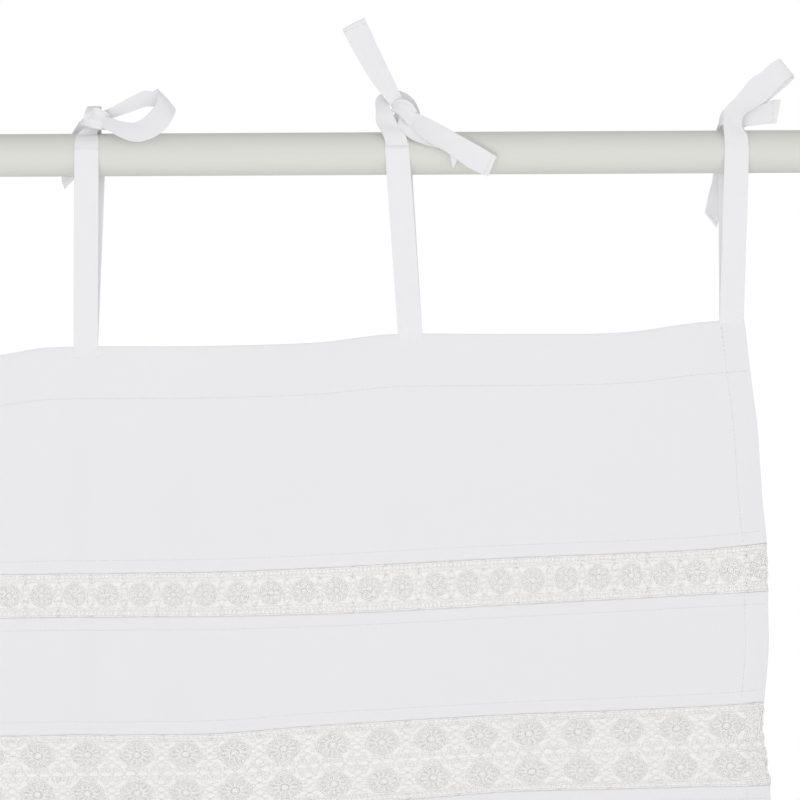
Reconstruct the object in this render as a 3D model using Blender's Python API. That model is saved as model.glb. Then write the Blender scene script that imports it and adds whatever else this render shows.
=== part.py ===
"""Cafe curtain on a rod: cotton panels joined by two lace insertions, hung by tape ties.

Metres, Z up. The origin is the centre of the rod's left end face. X runs along the rod and
the front of the cloth faces -Y. Tables are in millimetres.
"""

import math
from collections import namedtuple

import bmesh
import bpy
from mathutils import Vector

MM = 0.001

# Rod
ROD_LENGTH = 720.0
ROD_RADIUS = 13.0
ROD_SIDES = 64

# Cloth
PANEL_LEFT = 60.0
PANEL_WIDTH = 600.0
COLUMNS = 36
ONE_LAYER = 1.1
HEMMED = 1.9
LACE_THICK = 1.0
LACE_HEMMED = 1.6
SIDE_HEM = 16.0
HEADER_HEM = 33.0
SEAM_FOLD = 9.0
BOTTOM_HEM = 25.0
HEM_STEP = 0.6
PIECE_GAP = 0.3

# Ties
TAPE_WIDE = 15.2
TAPE_THICK = 1.0
TAPE_ARC = ROD_RADIUS + 2.8
TAPE_FOLD = 1.3
KNOT_SIDES = 12
KNOT_RINGS = 7

# Heights of the header's top edge and of each seam, at places along the rod.
Level = namedtuple("Level", "at header narrow_top narrow_foot wide_top wide_foot foot")
LEVELS = [
    Level(45, -116.0, -253.5, -280.6, -351.6, -401.0, -716.0),
    Level(68, -116.4, -253.8, -280.8, -351.8, -401.2, -715.7),
    Level(120, -121.0, -254.8, -281.8, -352.8, -402.0, -714.5),
    Level(170, -124.0, -255.4, -282.2, -353.5, -402.5, -713.5),
    Level(206, -121.6, -255.3, -282.1, -353.5, -402.4, -712.5),
    Level(236, -117.2, -255.1, -282.1, -353.5, -402.2, -711.6),
    Level(330, -116.8, -254.5, -282.0, -353.1, -401.0, -709.0),
    Level(400, -115.0, -252.0, -280.5, -347.8, -396.5, -707.5),
    Level(445, -110.2, -249.9, -279.1, -345.5, -394.3, -706.5),
    Level(511, -110.4, -247.0, -276.2, -342.7, -390.4, -705.0),
    Level(585, -109.9, -244.4, -272.8, -340.2, -388.8, -703.5),
    Level(633, -103.9, -242.1, -270.1, -337.8, -387.2, -702.6),
    Level(680, -101.0, -237.6, -267.6, -334.0, -386.0, -701.6),
]

# How far the side edges stand out past the header's ends, at depths below it.
Outline = namedtuple("Outline", "depth left right")
OUTLINES = [
    Outline(0, 0.0, 0.0),
    Outline(25, 1.8, 2.8),
    Outline(50, 4.0, 5.9),
    Outline(75, 6.0, 8.3),
    Outline(100, 7.5, 9.8),
    Outline(147, 10.0, 13.6),
    Outline(185, 10.5, 13.8),
    Outline(209, 10.0, 13.1),
    Outline(235, 9.0, 11.0),
    Outline(250, 9.0, 10.4),
    Outline(283, 11.5, 14.2),
    Outline(350, 13.0, 15.6),
    Outline(450, 12.0, 14.2),
    Outline(600, 14.0, 17.0),
]
DEPTHS = {
    "header": 0,
    "narrow_top": 137,
    "narrow_foot": 165,
    "wide_top": 234,
    "wide_foot": 284,
    "foot": 600,
}

# Soft upright folds: where, how far forward, how wide, sideways drift per 100 of depth.
Fold = namedtuple("Fold", "at forward wide drift")
FOLDS = [
    Fold(88, 5.0, 24, -2.0),
    Fold(134, -6.0, 24, 1.0),
    Fold(186, 5.0, 26, 0.0),
    Fold(242, -3.6, 13, 3.0),
    Fold(268, 2.4, 14, 3.0),
    Fold(300, -5.6, 25, -5.0),
    Fold(410, 5.0, 60, 0.0),
    Fold(545, -5.4, 66, 2.0),
    Fold(648, 5.0, 20, 4.0),
]
FOLD_GROWTH = 95.0

Band = namedtuple("Band", "name upper lower top_fold foot_fold rows single hemmed")
BANDS = [
    Band("top_panel", "header", "narrow_top", HEADER_HEM, SEAM_FOLD, 5, ONE_LAYER, HEMMED),
    Band("narrow_lace", "narrow_top", "narrow_foot", 0, 0, 2, LACE_THICK, LACE_HEMMED),
    Band("middle_panel", "narrow_foot", "wide_top", SEAM_FOLD, SEAM_FOLD, 3, ONE_LAYER, HEMMED),
    Band("wide_lace", "wide_top", "wide_foot", 0, 0, 3, LACE_THICK, LACE_HEMMED),
    Band("lower_panel", "wide_foot", "foot", SEAM_FOLD, BOTTOM_HEM, 8, ONE_LAYER, HEMMED),
]

# One tape: the x of its legs at the header and at the rod, and its knot.
Tie = namedtuple("Tie", "name foot front back knot size strips")
# One station of a strip of tape: both edges of the tape, as (x, y, z).
Edge = namedtuple("Edge", "a b")

PLAIN_END = [
    Edge((67, -2, 24), (66, -3, 19)),
    Edge((78, -9, 22), (74, -13, 12)),
    Edge((90, -15, 12), (84, -17, 0)),
    Edge((101, -18, 1), (94, -18, -12)),
]
PLAIN_BACK = [
    Edge((68, 1, 25), (68, 2, 19)),
    Edge((57, 8, 23), (60, 8, 16)),
    Edge((50, 17, 11), (62, 17.5, 7)),
    Edge((48, 17.5, -9), (61, 17.5, -14)),
]
BOW_LOOP = [
    Edge((265, -1, 26), (265, -1, 20)),
    Edge((272, -2, 27), (275, -3, 22.4)),
    Edge((284.8, -1, 34), (285.4, -2, 25.5)),
    Edge((294.5, 0, 38.6), (296.4, -1, 29.1)),
    Edge((301, -2.5, 39.3), (308, -4, 28)),
    Edge((303.6, -6, 39.2), (314, -8, 26.9)),
    Edge((303.8, -9.5, 34.5), (313.2, -12.5, 21.5)),
    Edge((302.6, -11.5, 29.4), (309.6, -15.5, 15.5)),
    Edge((297.5, -12.5, 23.2), (303, -17, 10.2)),
    Edge((290.5, -13, 18.6), (292.5, -17.5, 6.6)),
    Edge((282.5, -12, 18.9), (282.5, -16.8, 9.4)),
    Edge((275, -9, 22.2), (273.8, -12.5, 14.2)),
    Edge((265, -5, 24), (265, -5.5, 18.5)),
]
BOW_END = [
    Edge((265, 1.5, 25), (265, 1.5, 19.5)),
    Edge((257, 8, 23), (257, 7, 17)),
    Edge((249, 15, 13.5), (259, 16, 10)),
    Edge((244, 17.5, 0), (257, 17.5, -1)),
    Edge((242.7, 17.5, -13), (255.5, 17.5, -6)),
    Edge((244.5, 17.5, -19.4), (254.5, 17.5, -9.5)),
]
ENDS_UPPER = [
    Edge((449, -2, 21), (458, -2, 24)),
    Edge((441.5, -4, 33.5), (450.6, -5, 37)),
    Edge((433, -4.5, 44.2), (445.1, -6, 48.5)),
    Edge((425, -4, 57.6), (438.2, -5, 63)),
    Edge((418.5, -4, 70), (433, -4.5, 74.5)),
    Edge((415.9, -4, 75.3), (429.6, -4.5, 81.9)),
]
ENDS_LOWER = [
    Edge((455, -5, 25), (452, -5, 18)),
    Edge((461.6, -9, 23.4), (459.1, -13.5, 12.6)),
    Edge((476.8, -14, 15.5), (470, -17, 4)),
    Edge((484.5, -15.5, 11.1), (479, -18, -1)),
    Edge((498.2, -17.5, 3.4), (492.5, -18.5, -10.2)),
    Edge((509.1, -18, -3.4), (503.7, -18.5, -14.9)),
]
ENDS_WRAP = [
    Edge((441, -14.2, 7), (456, -14.2, 7)),
    Edge((437, -11.5, 15.5), (450, -11.5, 15.5)),
    Edge((436.2, -6, 26), (445, -7, 24)),
    Edge((436.8, -1, 32), (446, -2, 29.5)),
    Edge((443, 2, 33.5), (450, 1, 28)),
    Edge((450, 2.5, 27), (454, 2, 22)),
]
FOLDED_LOOP = [
    Edge((647, -16.2, 4), (661.6, -16.2, 4)),
    Edge((646.6, -13, 13), (661, -13.4, 12)),
    Edge((647.4, -8, 23.5), (657.5, -10, 18.5)),
    Edge((657.3, -5.5, 34.5), (664, -7.5, 25)),
    Edge((664, -5, 43), (672, -6.5, 29.7)),
    Edge((670.5, -4.5, 48), (680, -5.5, 36)),
    Edge((680, -4, 55), (689, -4.5, 43.6)),
    Edge((682.4, -2, 54.3), (690.2, -2, 43)),
    Edge((680, 0.5, 52), (689, 0.5, 41.6)),
    Edge((671, 1, 44), (682, 1, 34.6)),
    Edge((661, 1.2, 33), (669, 1.2, 26.5)),
    Edge((654, 1, 26), (657, 1, 19.5)),
]
FOLDED_END = [
    Edge((655, -2.5, 24), (655, -2.5, 18)),
    Edge((662, -2.6, 25), (661, -3, 15.9)),
    Edge((670, -3, 28), (669, -3.6, 16.2)),
    Edge((682.3, -3, 30), (679.3, -4, 17)),
]
FOLDED_BACK = [
    Edge((652, 3.5, 25), (656, 3.5, 19)),
    Edge((646, 11, 19), (655, 11, 14)),
    Edge((644, 17.2, 5), (655, 17.2, 2)),
    Edge((642.7, 17.5, -14.6), (653, 17.5, -20)),
    Edge((637.8, 16, -34.8), (643.9, 15, -44.5)),
]

TIES = [
    Tie("tie_left", 68, 68.5, 68.5, (68, 0, 22.2), (7.2, 6.2, 6.4), [PLAIN_END, PLAIN_BACK]),
    Tie("tie_bow", 258.6, 261, 262.6, (264.6, 0, 22.2), (7.2, 6.6, 6.6), [BOW_LOOP, BOW_END]),
    Tie("tie_ends", 456.4, 449.4, 450.6, (453.4, 0, 22.4), (7.6, 7, 6.8),
        [ENDS_UPPER, ENDS_LOWER, ENDS_WRAP]),
    Tie("tie_folded", 652.2, 654.4, 653.2, (654.6, 0, 22), (6.4, 6, 6.2),
        [FOLDED_LOOP, FOLDED_END, FOLDED_BACK]),
]


def blend(a, b, t):
    """Straight-line mix of two numbers."""
    return a + (b - a) * t


def ease(t):
    """Smooth step from 0 to 1."""
    t = min(max(t, 0.0), 1.0)
    return t * t * (3 - 2 * t)


def smooth_through(points, at):
    """Cubic curve through (place, value) pairs, read at one place."""
    if at <= points[0][0]:
        return points[0][1]
    if at >= points[-1][0]:
        return points[-1][1]
    i = max(k for k in range(len(points) - 1) if points[k][0] <= at)

    def slope(k):
        before = points[max(k - 1, 0)]
        after = points[min(k + 1, len(points) - 1)]
        return (after[1] - before[1]) / (after[0] - before[0])

    (x0, y0), (x1, y1) = points[i], points[i + 1]
    step = x1 - x0
    t = (at - x0) / step
    return (
        (2 * t**3 - 3 * t**2 + 1) * y0
        + (t**3 - 2 * t**2 + t) * step * slope(i)
        + (-2 * t**3 + 3 * t**2) * y1
        + (t**3 - t**2) * step * slope(i + 1)
    )


def level(name, x):
    """Height of the header's edge or of a seam at x."""
    return smooth_through([(row.at, getattr(row, name)) for row in LEVELS], x)


def sides(depth):
    """The x of the cloth's left and right edges at a depth below the header."""
    left = smooth_through([(row.depth, row.left) for row in OUTLINES], depth)
    right = smooth_through([(row.depth, row.right) for row in OUTLINES], depth)
    return PANEL_LEFT - left, PANEL_LEFT + PANEL_WIDTH + right


def fold_depth(x, depth):
    """The y of the cloth: folds start at the header and open out below it."""
    grown = 1 - math.exp(-max(depth, 0.0) / FOLD_GROWTH)
    forward = 0.0
    for fold in FOLDS:
        away = (x - fold.at - fold.drift * depth / 100) / fold.wide
        forward += fold.forward * math.exp(-away * away)
    return -forward * grown


def material(name, colour, roughness):
    """Plain Principled material."""
    made = bpy.data.materials.new(name)
    made.use_nodes = True
    shader = made.node_tree.nodes["Principled BSDF"]
    shader.inputs["Base Color"].default_value = (*colour, 1.0)
    shader.inputs["Roughness"].default_value = roughness
    return made


def add_object(name, mesh, finish, smooth=True):
    """Link one mesh object into the scene with its material."""
    mesh.materials.append(finish)
    mesh.polygons.foreach_set("use_smooth", [smooth] * len(mesh.polygons))
    obj = bpy.data.objects.new(name, mesh)
    bpy.context.scene.collection.objects.link(obj)
    return obj


def closed_mesh(name, points, faces):
    """Mesh from millimetre points, with its normals facing out."""
    mesh = bpy.data.meshes.new(name)
    mesh.from_pydata([Vector(p) * MM for p in points], [], faces)
    shape = bmesh.new()
    shape.from_mesh(mesh)
    bmesh.ops.recalc_face_normals(shape, faces=shape.faces)
    shape.to_mesh(mesh)
    shape.free()
    return mesh


def band_rows(band, drop):
    """Depths below the band's upper edge where its mesh has a row."""
    start, stop = 0.0, drop
    rows = []
    if band.top_fold:
        rows += [0.0, band.top_fold]
        start = band.top_fold + HEM_STEP
    if band.foot_fold:
        stop = drop - band.foot_fold - HEM_STEP
    rows += [blend(start, stop, k / band.rows) for k in range(band.rows + 1)]
    if band.foot_fold:
        rows += [drop - band.foot_fold, drop]
    return rows


def band_columns():
    """Fractions across the cloth where every band's mesh has a column."""
    hem = SIDE_HEM / PANEL_WIDTH
    step = HEM_STEP / PANEL_WIDTH
    inner = [blend(hem + step, 1 - hem - step, k / COLUMNS) for k in range(COLUMNS + 1)]
    return [0.0, hem / 2, hem] + inner + [1 - hem, 1 - hem / 2, 1.0]


def make_band(band, finish):
    """One band of the curtain as a closed sheet, thicker where it is hemmed."""
    columns = band_columns()
    upper, lower = DEPTHS[band.upper], DEPTHS[band.lower]
    drop = lower - upper
    rows = band_rows(band, drop)
    front, back = [], []
    for down in rows:
        depth = upper + down
        left, right = sides(depth)
        hem_row = (band.top_fold and down <= band.top_fold) or (
            band.foot_fold and down >= drop - band.foot_fold
        )
        for j, u in enumerate(columns):
            x = blend(left, right, u)
            top = level(band.upper, x) - (PIECE_GAP / 2 if upper else 0)
            foot = level(band.lower, x) + PIECE_GAP / 2
            z = blend(top, foot, down / drop)
            hem_column = j < 3 or j > len(columns) - 4
            half = (band.hemmed if hem_row or hem_column else band.single) / 2
            y = fold_depth(x, depth)
            front.append((x, y - half, z))
            back.append((x, y + half, z))
    wide, tall = len(columns), len(rows)
    offset = wide * tall
    faces = []
    for i in range(tall - 1):
        for j in range(wide - 1):
            a = i * wide + j
            ring = (a, a + 1, a + 1 + wide, a + wide)
            faces.append(ring)
            faces.append(tuple(offset + k for k in reversed(ring)))
    rim = [j for j in range(wide)]
    rim += [i * wide + wide - 1 for i in range(1, tall)]
    rim += [(tall - 1) * wide + j for j in range(wide - 2, -1, -1)]
    rim += [i * wide for i in range(tall - 2, 0, -1)]
    for a, b in zip(rim, rim[1:] + rim[:1]):
        faces.append((a, b, offset + b, offset + a))
    return add_object(band.name, closed_mesh(band.name, front + back, faces), finish, smooth=False)


def resample(stations, steps):
    """Smooth curve through the stations' edges, with a number of steps between two stations."""
    out = []
    places = range(len(stations))
    for i in range(len(stations) - 1):
        for k in range(steps):
            out.append(i + k / steps)
    out.append(len(stations) - 1)
    edges = []
    for at in out:
        pair = []
        for side in ("a", "b"):
            curves = [[(n, getattr(stations[n], side)[axis]) for n in places] for axis in range(3)]
            pair.append(Vector([smooth_through(curve, at) for curve in curves]))
        edges.append(Edge(*pair))
    return edges


def tape_mesh(name, edges):
    """Closed strip of tape between two edge curves, TAPE_THICK through."""
    points = []
    for i, edge in enumerate(edges):
        before, after = edges[max(i - 1, 0)], edges[min(i + 1, len(edges) - 1)]
        along = (after.a + after.b) - (before.a + before.b)
        normal = along.cross(edge.b - edge.a).normalized() * TAPE_THICK / 2
        points += [edge.a + normal, edge.b + normal, edge.b - normal, edge.a - normal]
    faces = [(0, 1, 2, 3)]
    for i in range(len(edges) - 1):
        for k in range(4):
            a, b = i * 4 + k, i * 4 + (k + 1) % 4
            faces.append((a, b, b + 4, a + 4))
    last = len(points) - 4
    faces.append((last, last + 1, last + 2, last + 3))
    return closed_mesh(name, points, faces)


def leg_stations(tie):
    """The tape from inside the knot, down in front of the rod, round its fold and up behind."""
    def crosswise(x, y, z, wide):
        return Edge(Vector((x - wide / 2, y, z)), Vector((x + wide / 2, y, z)))

    lowest = {}
    for side in (-1, 1):
        lowest[side] = level("header", tie.foot + side * TAPE_WIDE / 2) + PIECE_GAP
    arc = [(math.radians(a), w) for a, w in ((52, 0.86), (30, 0.97), (12, 1), (-7, 1))]
    x_knot, _, z_knot = tie.knot
    front = [crosswise(x_knot, -2, z_knot, 7)]
    front += [
        crosswise(tie.front, -TAPE_ARC * math.cos(a), TAPE_ARC * math.sin(a), TAPE_WIDE * w)
        for a, w in arc
    ]
    back = [crosswise(x_knot, 2, z_knot, 7)]
    back += [
        crosswise(tie.back, TAPE_ARC * math.cos(a), TAPE_ARC * math.sin(a), TAPE_WIDE * w)
        for a, w in arc
    ]

    def near_header(y, lift):
        a = Vector((tie.foot - TAPE_WIDE / 2, y, lowest[-1] + lift))
        b = Vector((tie.foot + TAPE_WIDE / 2, y, lowest[1] + lift))
        return Edge(a, b)

    half = TAPE_THICK / 2
    run = []
    for t in (0.25, 0.5, 0.75):
        upper, lower = front[-1], near_header(-TAPE_FOLD, 4)
        run.append(Edge(upper.a.lerp(lower.a, t), upper.b.lerp(lower.b, t)))
    down = run + [near_header(-TAPE_FOLD, 4), near_header(-TAPE_FOLD, half + TAPE_FOLD)]
    bend = [
        near_header(-TAPE_FOLD * math.cos(a), half + TAPE_FOLD * (1 - math.sin(a)))
        for a in (math.pi / 4, math.pi / 2, 3 * math.pi / 4)
    ]
    climb = []
    for t in (0.75, 0.5, 0.25):
        upper, lower = back[-1], near_header(TAPE_FOLD, 4)
        climb.append(Edge(upper.a.lerp(lower.a, t), upper.b.lerp(lower.b, t)))
    up = [near_header(TAPE_FOLD, half + TAPE_FOLD), near_header(TAPE_FOLD, 4)] + climb
    return front + down + bend + up + back[::-1]


def knot_mesh(name, centre, size):
    """Rounded knot as a closed ball with flattened sides."""
    shape = bmesh.new()
    bmesh.ops.create_uvsphere(shape, u_segments=KNOT_SIDES, v_segments=KNOT_RINGS, radius=1)
    for vert in shape.verts:
        for axis in range(3):
            vert.co[axis] = (centre[axis] + vert.co[axis] * size[axis]) * MM
    mesh = bpy.data.meshes.new(name)
    shape.to_mesh(mesh)
    shape.free()
    return mesh


def make_tie(tie, finish):
    """One tape tie: legs, knot, loop and ends joined into one solid."""
    whole = add_object(tie.name, tape_mesh(tie.name, leg_stations(tie)), finish)
    joined = [knot_mesh(tie.name + "_knot", tie.knot, tie.size)]
    for i, strip in enumerate(tie.strips):
        joined.append(tape_mesh(f"{tie.name}_strip_{i}", resample(strip, 3)))
    for mesh in joined:
        helper = add_object(mesh.name, mesh, finish)
        helper.hide_render = True
        helper.display_type = "WIRE"
        union = whole.modifiers.new(mesh.name, "BOOLEAN")
        union.operation = "UNION"
        union.solver = "EXACT"
        union.object = helper
    return whole


def make_rod(finish):
    """Plain round pole along X with flat ends."""
    points, faces = [], []
    for x in (0.0, ROD_LENGTH):
        for k in range(ROD_SIDES):
            turn = 2 * math.pi * k / ROD_SIDES
            points.append((x, ROD_RADIUS * math.cos(turn), ROD_RADIUS * math.sin(turn)))
    for k in range(ROD_SIDES):
        after = (k + 1) % ROD_SIDES
        faces.append((k, after, ROD_SIDES + after, ROD_SIDES + k))
    faces.append(tuple(range(ROD_SIDES)))
    faces.append(tuple(range(ROD_SIDES, 2 * ROD_SIDES)))
    rod = add_object("rod", closed_mesh("rod", points, faces), finish)
    for face in rod.data.polygons:
        face.use_smooth = len(face.vertices) == 4
    return rod


def main():
    """Clear the scene and build every sub-part."""
    for obj in list(bpy.data.objects):
        bpy.data.objects.remove(obj, do_unlink=True)
    paint = material("rod_paint", (0.74, 0.74, 0.70), 0.4)
    cotton = material("white_cotton", (0.86, 0.86, 0.88), 0.9)
    lace = material("lace_cotton", (0.82, 0.81, 0.79), 0.95)
    tape = material("cotton_tape", (0.87, 0.87, 0.89), 0.85)
    make_rod(paint)
    for band in BANDS:
        make_band(band, lace if "lace" in band.name else cotton)
    for tie in TIES:
        make_tie(tie, tape)


main()
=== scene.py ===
"""Dresses the cafe curtain on a rod: cotton panels, two laces, tape ties and a painted pole.

Everything is in the row frame, in metres. Tables and sizes inside the classes are in millimetres.
"""

from __future__ import annotations

import logging
import math
import random
from dataclasses import dataclass, field
from enum import Enum
from typing import NamedTuple, Sequence

import bmesh
import bpy
import numpy as np
from mathutils import Matrix, Vector

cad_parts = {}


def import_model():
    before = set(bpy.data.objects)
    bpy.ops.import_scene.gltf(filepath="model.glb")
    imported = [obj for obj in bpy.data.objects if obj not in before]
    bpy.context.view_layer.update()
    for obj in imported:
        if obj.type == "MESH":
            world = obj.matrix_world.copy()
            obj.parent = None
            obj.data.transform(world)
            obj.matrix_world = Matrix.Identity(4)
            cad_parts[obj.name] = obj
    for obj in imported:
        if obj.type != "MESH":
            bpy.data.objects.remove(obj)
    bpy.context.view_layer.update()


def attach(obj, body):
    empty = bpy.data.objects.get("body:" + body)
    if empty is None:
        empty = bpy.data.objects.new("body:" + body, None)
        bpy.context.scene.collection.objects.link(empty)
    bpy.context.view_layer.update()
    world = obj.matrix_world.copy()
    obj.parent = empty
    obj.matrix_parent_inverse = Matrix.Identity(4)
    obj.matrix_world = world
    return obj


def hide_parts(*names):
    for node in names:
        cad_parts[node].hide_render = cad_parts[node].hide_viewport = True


LOG = logging.getLogger("cafe_curtain")
MM = 0.001
BODY = "root"


class Seam(Enum):
    """The edges and seams that run across the curtain, from the top down."""

    HEADER = 0
    NARROW_TOP = 1
    NARROW_FOOT = 2
    WIDE_TOP = 3
    WIDE_FOOT = 4
    FOOT = 5


class TapeEnd(Enum):
    """How a run of tape ends."""

    TUCKED = "tucked"
    HEMMED = "hemmed"


class Level(NamedTuple):
    """Heights of every seam at one place along the rod."""

    at: float
    header: float
    narrow_top: float
    narrow_foot: float
    wide_top: float
    wide_foot: float
    foot: float


class Outline(NamedTuple):
    """How far the cloth's side edges stand out at one depth below the header."""

    depth: float
    left: float
    right: float


class Fold(NamedTuple):
    """One soft upright fold."""

    at: float
    forward: float
    wide: float
    drift: float


class Edge(NamedTuple):
    """Both edges of a tape at one station, each (x, y, z)."""

    a: tuple[float, float, float]
    b: tuple[float, float, float]


def linear(red: float, green: float, blue: float) -> tuple[float, float, float, float]:
    """Turn display values from 0 to 255 into a linear colour."""
    made = []
    for value in (red, green, blue):
        v = value / 255
        made.append(v / 12.92 if v <= 0.04045 else ((v + 0.055) / 1.055) ** 2.4)
    return (made[0], made[1], made[2], 1.0)


@dataclass(frozen=True)
class Curve:
    """Smooth curve through (place, value) pairs."""

    places: tuple[float, ...]
    values: tuple[float, ...]

    def at(self, x: np.ndarray) -> np.ndarray:
        """Read the curve.

        Args:
            x: places to read it at.

        Returns:
            The curve's value at each place.
        """
        xs, ys = np.array(self.places, float), np.array(self.values, float)
        before = np.maximum(np.arange(len(xs)) - 1, 0)
        after = np.minimum(np.arange(len(xs)) + 1, len(xs) - 1)
        slopes = (ys[after] - ys[before]) / (xs[after] - xs[before])
        x = np.clip(x, xs[0], xs[-1])
        i = np.clip(np.searchsorted(xs, x, side="right") - 1, 0, len(xs) - 2)
        step = xs[i + 1] - xs[i]
        t = (x - xs[i]) / step
        return (
            (2 * t**3 - 3 * t**2 + 1) * ys[i]
            + (t**3 - 2 * t**2 + t) * step * slopes[i]
            + (3 * t**2 - 2 * t**3) * ys[i + 1]
            + (t**3 - t**2) * step * slopes[i + 1]
        )


@dataclass(frozen=True)
class SoftNoise:
    """Smooth, repeatable unevenness made of a few waves."""

    seed: int
    scale: float
    waves: int = 7

    def at(self, x: np.ndarray, z: np.ndarray) -> np.ndarray:
        """Read the unevenness.

        Args:
            x: places along the rod.
            z: heights.

        Returns:
            Values from about -1 to 1.
        """
        chance = np.random.RandomState(self.seed)
        total = np.zeros(np.broadcast(x, z).shape)
        for _ in range(self.waves):
            turn, phase = chance.uniform(0, 2 * math.pi, 2)
            stretch = chance.uniform(0.6, 1.6) * 2 * math.pi / self.scale
            total += np.sin((x * math.cos(turn) + z * math.sin(turn)) * stretch + phase)
        return total / math.sqrt(self.waves)


# ---------------------------------------------------------------- finishes


@dataclass(frozen=True)
class Finish:
    """A procedural material with a base colour, roughness and sheen."""

    name: str
    colour: tuple[float, float, float, float]
    roughness: float
    sheen: float = 0.0

    def material(self) -> bpy.types.Material:
        """Return this finish's material, making it the first time."""
        found = bpy.data.materials.get(self.name)
        if found:
            return found
        made = bpy.data.materials.new(self.name)
        made.use_nodes = True
        shader = made.node_tree.nodes["Principled BSDF"]
        shader.inputs["Base Color"].default_value = self.colour
        shader.inputs["Roughness"].default_value = self.roughness
        shader.inputs["Sheen Weight"].default_value = self.sheen
        shader.inputs["Sheen Roughness"].default_value = 0.5
        self.dress(made.node_tree, shader)
        return made

    def dress(self, tree: bpy.types.NodeTree, shader: bpy.types.Node) -> None:
        """Add this finish's own detail to the plain shader."""

    def tint(self, tree: bpy.types.NodeTree, shader: bpy.types.Node, value: bpy.types.NodeSocket,
             darker: float) -> None:
        """Vary the base colour a little.

        Args:
            tree: the material's nodes.
            shader: its Principled shader.
            value: what drives the change, from 0 to 1.
            darker: the darkest colour as a share of the base colour.
        """
        mix = tree.nodes.new("ShaderNodeMix")
        mix.data_type = "RGBA"
        mix.inputs[6].default_value = tuple(c * darker for c in self.colour[:3]) + (1.0,)
        mix.inputs[7].default_value = self.colour
        tree.links.new(value, mix.inputs[0])
        tree.links.new(mix.outputs[2], shader.inputs["Base Color"])

    @staticmethod
    def coordinates(tree: bpy.types.NodeTree, source: str,
                    stretch: tuple[float, float, float]) -> bpy.types.NodeSocket:
        """Stretched texture coordinates.

        Args:
            tree: the material's nodes.
            source: "Object" or "UV".
            stretch: scale along each axis.

        Returns:
            The vector socket to read.
        """
        origin = tree.nodes.new("ShaderNodeTexCoord")
        mapping = tree.nodes.new("ShaderNodeMapping")
        mapping.inputs["Scale"].default_value = stretch
        tree.links.new(origin.outputs[source], mapping.inputs["Vector"])
        return mapping.outputs["Vector"]

    @staticmethod
    def noise(tree: bpy.types.NodeTree, vector: bpy.types.NodeSocket, scale: float,
              detail: float = 3.0) -> bpy.types.NodeSocket:
        """Noise texture's value at a scale."""
        node = tree.nodes.new("ShaderNodeTexNoise")
        node.inputs["Scale"].default_value = scale
        node.inputs["Detail"].default_value = detail
        tree.links.new(vector, node.inputs["Vector"])
        return node.outputs["Fac"]

    @staticmethod
    def threads(tree: bpy.types.NodeTree, vector: bpy.types.NodeSocket, direction: str,
                period: float) -> bpy.types.NodeSocket:
        """Rows of threads.

        Args:
            tree: the material's nodes.
            vector: coordinates in metres.
            direction: the axis that the rows repeat along.
            period: distance between threads, in metres.

        Returns:
            A value from 0 between threads to 1 on them.
        """
        node = tree.nodes.new("ShaderNodeTexWave")
        node.wave_type = "BANDS"
        node.bands_direction = direction
        node.inputs["Scale"].default_value = 0.31416 / period
        node.inputs["Distortion"].default_value = 0.35
        node.inputs["Detail"].default_value = 1.0
        tree.links.new(vector, node.inputs["Vector"])
        return node.outputs["Fac"]

    @staticmethod
    def maths(tree: bpy.types.NodeTree, operation: str, a: bpy.types.NodeSocket,
              b: bpy.types.NodeSocket | float) -> bpy.types.NodeSocket:
        """Combine two values."""
        node = tree.nodes.new("ShaderNodeMath")
        node.operation = operation
        tree.links.new(a, node.inputs[0])
        if isinstance(b, (int, float)):
            node.inputs[1].default_value = b
        else:
            tree.links.new(b, node.inputs[1])
        return node.outputs[0]

    @staticmethod
    def relief(tree: bpy.types.NodeTree, shader: bpy.types.Node, height: bpy.types.NodeSocket,
               distance: float, strength: float) -> None:
        """Raise the surface by a height value through a bump."""
        bump = tree.nodes.new("ShaderNodeBump")
        bump.inputs["Distance"].default_value = distance
        bump.inputs["Strength"].default_value = strength
        tree.links.new(height, bump.inputs["Height"])
        tree.links.new(bump.outputs["Normal"], shader.inputs["Normal"])


@dataclass(frozen=True)
class WovenCotton(Finish):
    """Plain woven cotton: crossing threads, slubs and faint unevenness."""

    thread: float = 0.00052
    source: str = "Object"

    def dress(self, tree: bpy.types.NodeTree, shader: bpy.types.Node) -> None:
        """Cross the threads, thicken some of them and tint between them."""
        plain = self.coordinates(tree, self.source, (1, 1, 1))
        second = "Y" if self.source == "UV" else "Z"
        warp = self.threads(tree, plain, "X", self.thread)
        weft = self.threads(tree, plain, second, self.thread * 1.08)
        weave = self.maths(tree, "MAXIMUM", warp, weft)
        along = self.coordinates(tree, self.source, (60, 60, 900))
        up = self.coordinates(tree, self.source, (900, 60, 60))
        slubs = self.maths(tree, "ADD", self.noise(tree, along, 1.0), self.noise(tree, up, 1.0))
        height = self.maths(tree, "ADD", weave, slubs)
        self.relief(tree, shader, height, 0.00012, 0.35)
        cloudy = self.noise(tree, plain, 26.0)
        mixed = self.maths(tree, "MULTIPLY", self.maths(tree, "ADD", cloudy, slubs), 0.55)
        self.tint(tree, shader, mixed, 0.965)


@dataclass(frozen=True)
class LaceYarn(Finish):
    """Twisted cotton yarn with a soft, fibrous face."""

    def dress(self, tree: bpy.types.NodeTree, shader: bpy.types.Node) -> None:
        """Twist the yarn with slanted ridges and loosen it with fine fibres."""
        plain = self.coordinates(tree, "Object", (1, 1, 1))
        slanted = self.coordinates(tree, "Object", (1, 1, 0.7))
        ply = self.threads(tree, slanted, "DIAGONAL", 0.0006)
        fibres = self.noise(tree, plain, 2600.0, 2.0)
        self.relief(tree, shader, self.maths(tree, "ADD", ply, fibres), 0.00015, 0.5)
        self.tint(tree, shader, self.noise(tree, plain, 900.0, 2.0), 0.93)


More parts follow.
